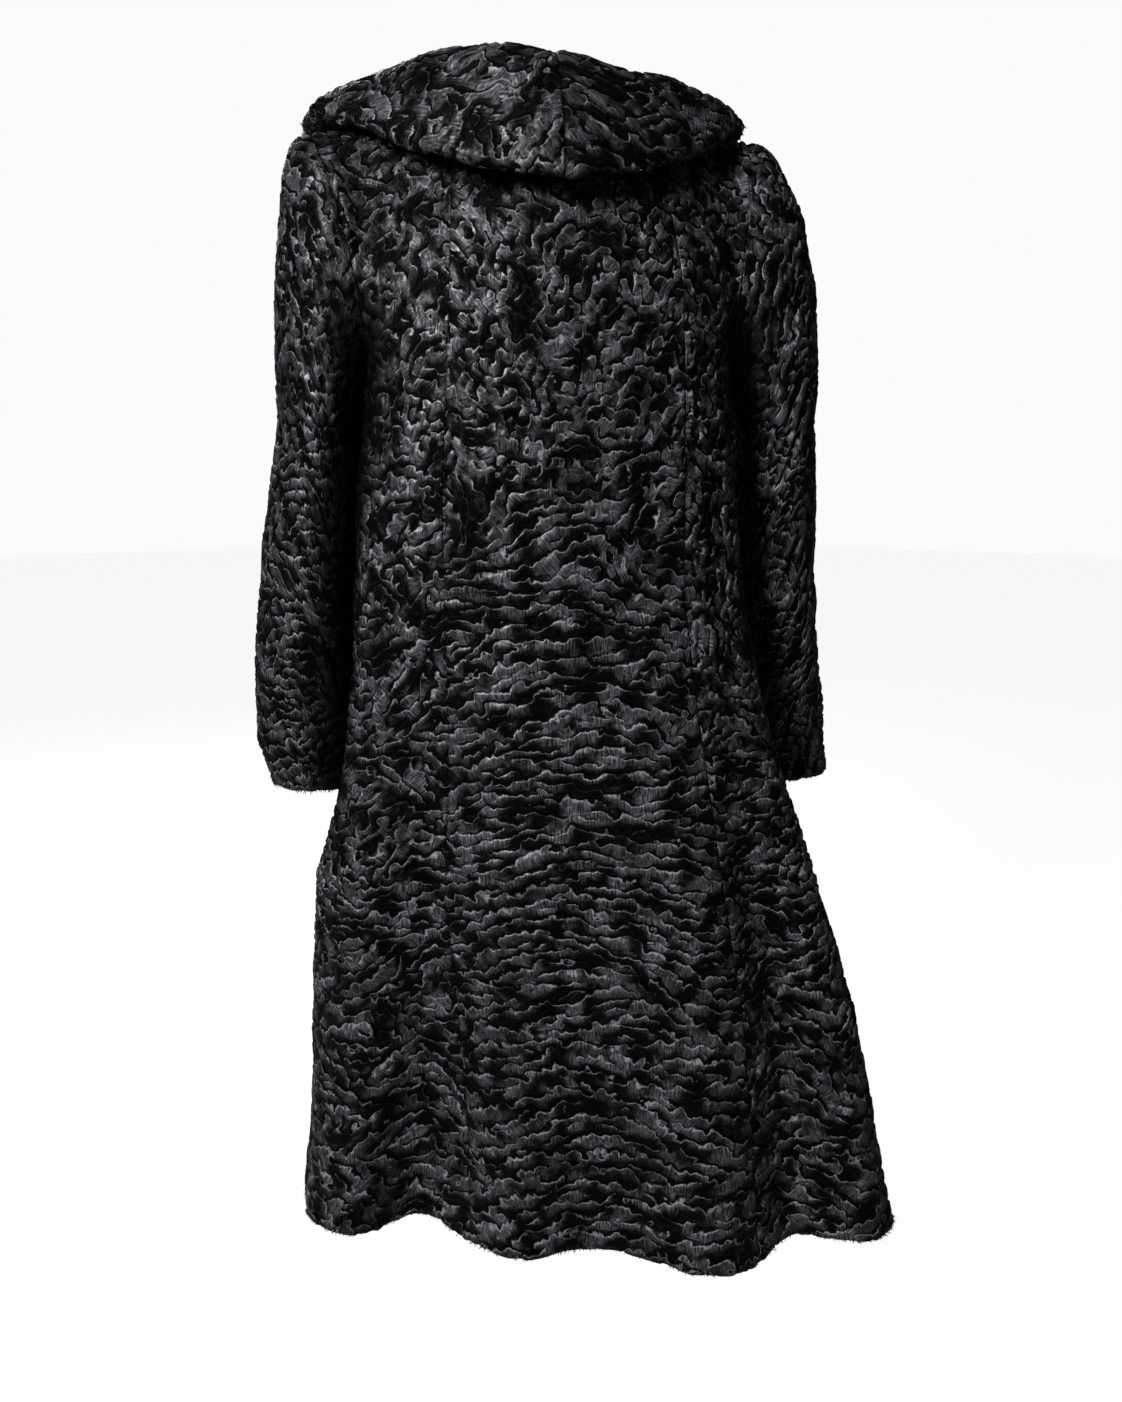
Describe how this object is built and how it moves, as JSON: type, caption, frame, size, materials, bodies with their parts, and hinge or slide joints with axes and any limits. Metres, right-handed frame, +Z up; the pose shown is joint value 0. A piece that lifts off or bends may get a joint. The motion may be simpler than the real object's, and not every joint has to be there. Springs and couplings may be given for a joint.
{
  "type": "fur coat",
  "caption": "Knee-length black curly lamb fur coat in its hollow worn form, flared skirt with soft folds, set-in sleeves, wide stand-away collar.",
  "frame": {"origin": "on the neck's axis at the height of the nape, where the wearer's shoulders carry the coat", "axes": "+Z up, +Y behind the wearer, +X to the wearer's left"},
  "size_m": [0.6607, 0.3692, 1.1844],
  "materials": {
    "fur": "flat glossy curled lamb fur, satin, near black"
  },
  "bodies": {
    "root": {"back_centre": "fur", "back_left": "fur", "back_right": "fur", "front_left": "fur", "front_right": "fur", "sleeve_left": "fur", "sleeve_right": "fur", "collar_left": "fur", "collar_right": "fur"}
  },
  "joints": []
}
